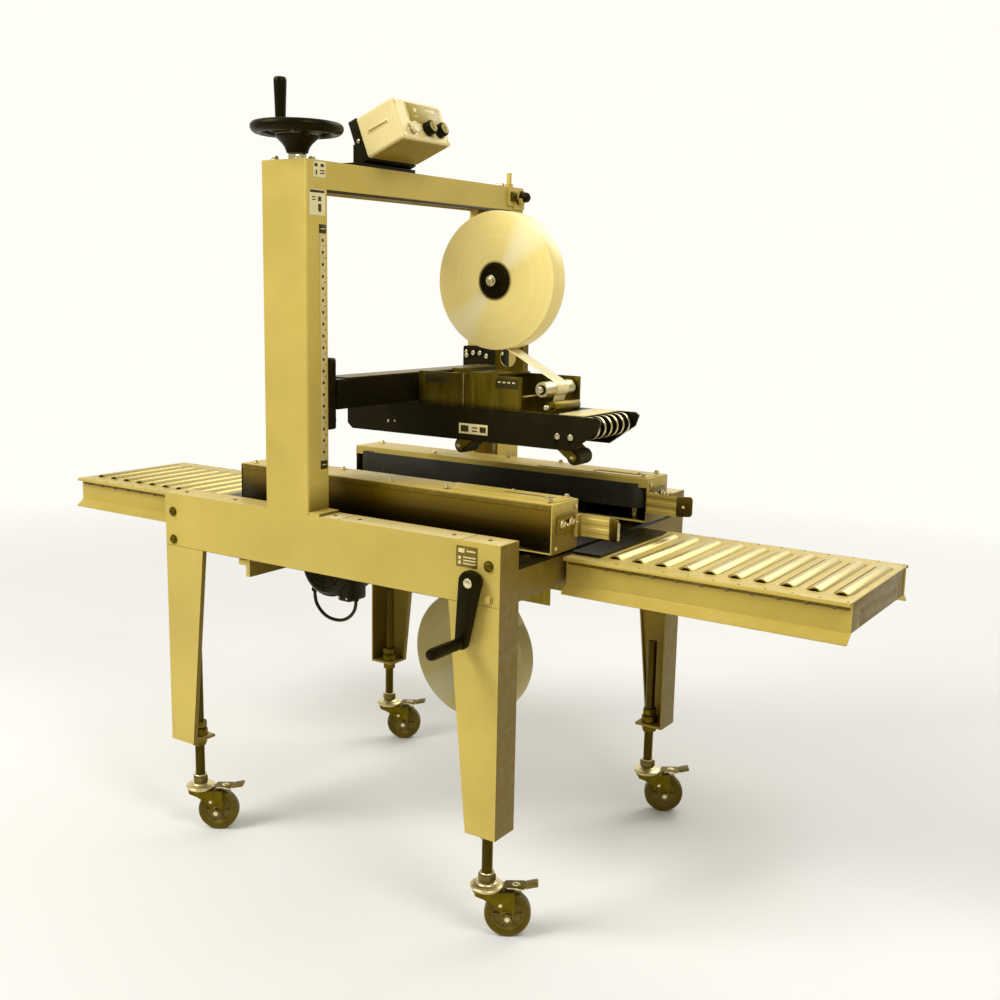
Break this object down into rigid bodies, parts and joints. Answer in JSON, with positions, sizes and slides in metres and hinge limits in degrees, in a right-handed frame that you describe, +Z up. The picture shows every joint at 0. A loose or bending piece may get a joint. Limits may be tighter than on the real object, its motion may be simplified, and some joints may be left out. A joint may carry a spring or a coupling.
{
  "type": "carton sealer machine",
  "caption": "Side-belt carton sealer: box frame on braked casters, mast with handwheel-raised taping head, two driven side belts, roller tables and a tilted control box.",
  "frame": {"origin": "on the floor, under the middle of the overall box", "axes": "+X along the conveyor towards the infeed end, +Y across the conveyor away from the operator, +Z up"},
  "size_m": [2.055, 0.9234, 1.667],
  "materials": {
    "khaki_paint": "satin",
    "cover_paint": "satin",
    "black_paint": "satin",
    "cream_paint": "satin",
    "zinc_steel": "brushed",
    "bright_steel": "turned",
    "arm_steel": "brushed",
    "tape_film": "satin",
    "belt_rubber": "matte",
    "lead_rubber": "matte",
    "roller_rubber": "satin",
    "cast_aluminium": "painted black",
    "black_plastic": "matte",
    "button_plastic": "gloss",
    "caster_steel": "zinc plated",
    "wheel_plastic": "matte",
    "pedal_plastic": "matte"
  },
  "bodies": {
    "frame": {"bed_deck": "black_paint", "belt_motor": "cast_aluminium", "control_box": "cream_paint", "control_box_bracket": "black_paint", "end_cross_beams": "khaki_paint", "exit_far_leg": "khaki_paint", "exit_near_leg": "khaki_paint", "exit_table_frame": "khaki_paint", "far_mast": "khaki_paint", "far_side_panel": "khaki_paint", "frame_bolts": "bright_steel", "infeed_far_leg": "khaki_paint", "infeed_near_leg": "khaki_paint", "infeed_table_frame": "khaki_paint", "levelling_stems": "bright_steel", "lift_chain": "bright_steel", "lower_tape_cartridge": "zinc_steel", "motor_lead": "lead_rubber", "near_mast": "khaki_paint", "near_side_panel": "khaki_paint", "table_rollers": "zinc_steel", "top_beam": "khaki_paint"},
    "handwheel": {"handwheel": "black_paint", "near_lift_screw": "bright_steel"},
    "handwheel_grip": {"handwheel_grip": "black_plastic"},
    "far_lift_screw": {"far_lift_screw": "bright_steel"},
    "head": {"lift_carriages": "black_paint", "head_frame": "black_paint", "upper_tape_cartridge": "zinc_steel", "upper_roll_bracket": "black_paint"},
    "upper_tape_roll": {"upper_tape_roll": "tape_film"},
    "upper_tension_roller": {"upper_tension_roller": "roller_rubber"},
    "upper_front_arm": {"upper_front_arm": "arm_steel"},
    "upper_rear_arm": {"upper_rear_arm": "arm_steel"},
    "lower_tape_roll": {"lower_tape_roll": "tape_film"},
    "lower_front_arm": {"lower_front_arm": "arm_steel"},
    "lower_rear_arm": {"lower_rear_arm": "arm_steel"},
    "width_crank": {"width_crank": "black_paint"},
    "width_crank_grip": {"width_crank_grip": "black_plastic"},
    "near_drive_drum": {"near_drive_drum": "bright_steel"},
    "far_drive_drum": {"far_drive_drum": "bright_steel"},
    "start_button": {"start_button": "button_plastic"},
    "speed_knob": {"speed_knob": "black_plastic"},
    "power_knob": {"power_knob": "black_plastic"},
    "near_drive": {"near_belt_unit": "cover_paint", "near_side_belt": "belt_rubber"},
    "far_drive": {"far_belt_unit": "cover_paint", "far_side_belt": "belt_rubber"},
    "exit_near_caster_fork": {"exit_near_caster_fork": "caster_steel"},
    "exit_near_caster_wheel": {"exit_near_caster_wheel": "wheel_plastic"},
    "exit_near_caster_pedal": {"exit_near_caster_pedal": "pedal_plastic"},
    "exit_far_caster_fork": {"exit_far_caster_fork": "caster_steel"},
    "exit_far_caster_wheel": {"exit_far_caster_wheel": "wheel_plastic"},
    "exit_far_caster_pedal": {"exit_far_caster_pedal": "pedal_plastic"},
    "infeed_near_caster_fork": {"infeed_near_caster_fork": "caster_steel"},
    "infeed_near_caster_wheel": {"infeed_near_caster_wheel": "wheel_plastic"},
    "infeed_near_caster_pedal": {"infeed_near_caster_pedal": "pedal_plastic"},
    "infeed_far_caster_fork": {"infeed_far_caster_fork": "caster_steel"},
    "infeed_far_caster_wheel": {"infeed_far_caster_wheel": "wheel_plastic"},
    "infeed_far_caster_pedal": {"infeed_far_caster_pedal": "pedal_plastic"}
  },
  "joints": [
    {"name": "handwheel_turn", "type": "hinge", "parent": "frame", "child": "handwheel", "pos_m": [-0.069, -0.31465, 1.559], "axis": [0, 0, 1], "range_deg": [-4824, 22536]},
    {"name": "handwheel_grip_spin", "type": "hinge", "parent": "handwheel", "child": "handwheel_grip", "pos_m": [-0.14218, -0.28359, 1.6], "axis": [0, 0, 1], "continuous": true},
    {"name": "far_lift_screw_turn", "type": "hinge", "parent": "frame", "child": "far_lift_screw", "pos_m": [-0.069, 0.41035, 1.1], "axis": [0, 0, 1], "range_deg": [-4825, 22537]},
    {"name": "head_height", "type": "slide", "parent": "frame", "child": "head", "axis": [0, 0, 1], "range_m": [-0.0671, 0.3131]},
    {"name": "upper_roll_spin", "type": "hinge", "parent": "head", "child": "upper_tape_roll", "pos_m": [0.177, 0.04785, 1.274], "axis": [0, 1, 0], "continuous": true},
    {"name": "upper_tension_roller_spin", "type": "hinge", "parent": "head", "child": "upper_tension_roller", "pos_m": [0.324, 0.04785, 1.054], "axis": [0, 1, 0], "continuous": true},
    {"name": "upper_front_arm_swing", "type": "hinge", "parent": "head", "child": "upper_front_arm", "pos_m": [0.292, 0.04785, 0.985], "axis": [0, -1, 0], "range_deg": [0, 25], "stiffness_Nm_per_rad": 2.5, "springref_deg": -45.84},
    {"name": "upper_rear_arm_swing", "type": "hinge", "parent": "head", "child": "upper_rear_arm", "pos_m": [0.188, 0.04785, 0.985], "axis": [0, 1, 0], "range_deg": [-0.1, 25.1]},
    {"name": "lower_roll_spin", "type": "hinge", "parent": "frame", "child": "lower_tape_roll", "pos_m": [0.123, 0.04785, 0.437], "axis": [0, 1, 0], "continuous": true},
    {"name": "lower_front_arm_swing", "type": "hinge", "parent": "frame", "child": "lower_front_arm", "pos_m": [0.214, 0.04785, 0.702], "axis": [0, 1, 0], "range_deg": [0, 25], "stiffness_Nm_per_rad": 2.5, "springref_deg": -45.84},
    {"name": "lower_rear_arm_swing", "type": "hinge", "parent": "frame", "child": "lower_rear_arm", "pos_m": [0.11, 0.04785, 0.702], "axis": [0, -1, 0], "range_deg": [-0.1, 25.1]},
    {"name": "width_crank_turn", "type": "hinge", "parent": "frame", "child": "width_crank", "pos_m": [0.392, -0.34465, 0.725], "axis": [0, 1, 0], "range_deg": [-5472, 4680]},
    {"name": "width_crank_grip_spin", "type": "hinge", "parent": "width_crank", "child": "width_crank_grip", "pos_m": [0.37544, -0.40465, 0.60716], "axis": [0, 1, 0], "continuous": true},
    {"name": "near_drive_width", "type": "slide", "parent": "frame", "child": "near_drive", "axis": [0, 1, 0], "range_m": [-0.0761, 0.0651]},
    {"name": "far_drive_width", "type": "slide", "parent": "frame", "child": "far_drive", "axis": [0, -1, 0], "range_m": [-0.0761, 0.0651]},
    {"name": "near_drum_spin", "type": "hinge", "parent": "near_drive", "child": "near_drive_drum", "pos_m": [-0.311, -0.13555, 0.817], "axis": [0, 0, 1], "continuous": true},
    {"name": "far_drum_spin", "type": "hinge", "parent": "far_drive", "child": "far_drive_drum", "pos_m": [-0.311, 0.23125, 0.817], "axis": [0, 0, 1], "continuous": true},
    {"name": "start_button_press", "type": "slide", "parent": "frame", "child": "start_button", "axis": [-0.9272, 0, -0.3746], "range_m": [0, 0.0018], "stiffness_N_per_m": 300, "springref_m": -0.003},
    {"name": "speed_knob_turn", "type": "hinge", "parent": "frame", "child": "speed_knob", "pos_m": [0.06219, -0.06615, 1.57816], "axis": [0.9272, 0, 0.3746], "range_deg": [-135, 135]},
    {"name": "power_knob_turn", "type": "hinge", "parent": "frame", "child": "power_knob", "pos_m": [0.06219, -0.02615, 1.57816], "axis": [0.9272, 0, 0.3746], "range_deg": [0, 90]},
    {"name": "exit_near_caster_swivel", "type": "hinge", "parent": "frame", "child": "exit_near_caster_fork", "pos_m": [-0.4035, -0.30265, 0.105], "axis": [0, 0, 1], "continuous": true},
    {"name": "exit_near_caster_roll", "type": "hinge", "parent": "exit_near_caster_fork", "child": "exit_near_caster_wheel", "pos_m": [-0.36769, -0.2807, 0.0465], "axis": [-0.5225, 0.8526, 0], "continuous": true},
    {"name": "exit_near_caster_brake", "type": "hinge", "parent": "exit_near_caster_fork", "child": "exit_near_caster_pedal", "pos_m": [-0.36854, -0.28123, 0.1045], "axis": [-0.5225, 0.8526, 0], "range_deg": [0, 10]},
    {"name": "exit_far_caster_swivel", "type": "hinge", "parent": "frame", "child": "exit_far_caster_fork", "pos_m": [-0.4035, 0.39835, 0.105], "axis": [0, 0, 1], "continuous": true},
    {"name": "exit_far_caster_roll", "type": "hinge", "parent": "exit_far_caster_fork", "child": "exit_far_caster_wheel", "pos_m": [-0.36769, 0.42029, 0.0465], "axis": [-0.5225, 0.8526, 0], "continuous": true},
    {"name": "exit_far_caster_brake", "type": "hinge", "parent": "exit_far_caster_fork", "child": "exit_far_caster_pedal", "pos_m": [-0.36854, 0.41977, 0.1045], "axis": [-0.5225, 0.8526, 0], "range_deg": [0, 10]},
    {"name": "infeed_near_caster_swivel", "type": "hinge", "parent": "frame", "child": "infeed_near_caster_fork", "pos_m": [0.4035, -0.30265, 0.105], "axis": [0, 0, 1], "continuous": true},
    {"name": "infeed_near_caster_roll", "type": "hinge", "parent": "infeed_near_caster_fork", "child": "infeed_near_caster_wheel", "pos_m": [0.43931, -0.2807, 0.0465], "axis": [-0.5225, 0.8526, 0], "continuous": true},
    {"name": "infeed_near_caster_brake", "type": "hinge", "parent": "infeed_near_caster_fork", "child": "infeed_near_caster_pedal", "pos_m": [0.43846, -0.28123, 0.1045], "axis": [-0.5225, 0.8526, 0], "range_deg": [0, 10]},
    {"name": "infeed_far_caster_swivel", "type": "hinge", "parent": "frame", "child": "infeed_far_caster_fork", "pos_m": [0.4035, 0.39835, 0.105], "axis": [0, 0, 1], "continuous": true},
    {"name": "infeed_far_caster_roll", "type": "hinge", "parent": "infeed_far_caster_fork", "child": "infeed_far_caster_wheel", "pos_m": [0.43931, 0.42029, 0.0465], "axis": [-0.5225, 0.8526, 0], "continuous": true},
    {"name": "infeed_far_caster_brake", "type": "hinge", "parent": "infeed_far_caster_fork", "child": "infeed_far_caster_pedal", "pos_m": [0.43846, 0.41977, 0.1045], "axis": [-0.5225, 0.8526, 0], "range_deg": [0, 10]}
  ],
  "couplings": [
    {"joint": "head_height", "follows": "handwheel_turn", "m_per_rad": 0.00079577},
    {"joint": "far_lift_screw_turn", "follows": "handwheel_turn", "ratio": 1},
    {"joint": "upper_rear_arm_swing", "follows": "upper_front_arm_swing", "ratio": 1},
    {"joint": "lower_rear_arm_swing", "follows": "lower_front_arm_swing", "ratio": 1},
    {"joint": "near_drive_width", "follows": "width_crank_turn", "m_per_rad": 0.00079577},
    {"joint": "far_drive_width", "follows": "width_crank_turn", "m_per_rad": 0.00079577}
  ]
}
